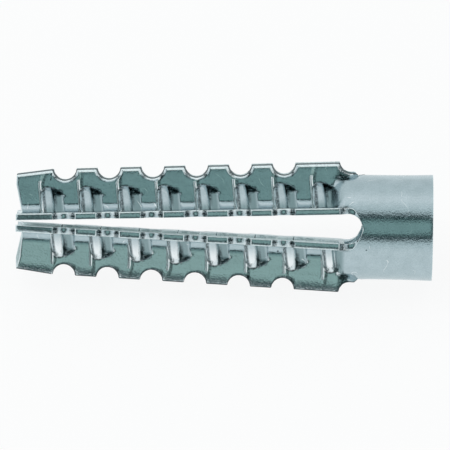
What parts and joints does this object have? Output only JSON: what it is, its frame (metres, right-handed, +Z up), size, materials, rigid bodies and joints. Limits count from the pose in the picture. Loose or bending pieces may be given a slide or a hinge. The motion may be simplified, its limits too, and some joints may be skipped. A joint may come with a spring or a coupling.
{
  "type": "metal expansion wall anchor",
  "caption": "One-piece sheet-steel expansion plug: a round collar and toothed legs that close in towards the tip, with pressed thread seats for a screw.",
  "frame": {"origin": "on the sleeve's axis, in the plane of the collar's mouth, where the screw goes in", "axes": "+X runs along the sleeve's axis and out of the collar's mouth, so the legs point towards -X. +Z is up, and the sleeve lies on its two lower fins, with a slot facing the front and the top at 45 degrees"},
  "size_m": [0.038, 0.011, 0.011],
  "materials": {
    "zinc_steel": "bright zinc plating on rolled sheet steel, with fine drawing marks and bare sheared edges"
  },
  "bodies": {
    "root": {"anchor_sleeve": "zinc_steel"}
  },
  "joints": []
}
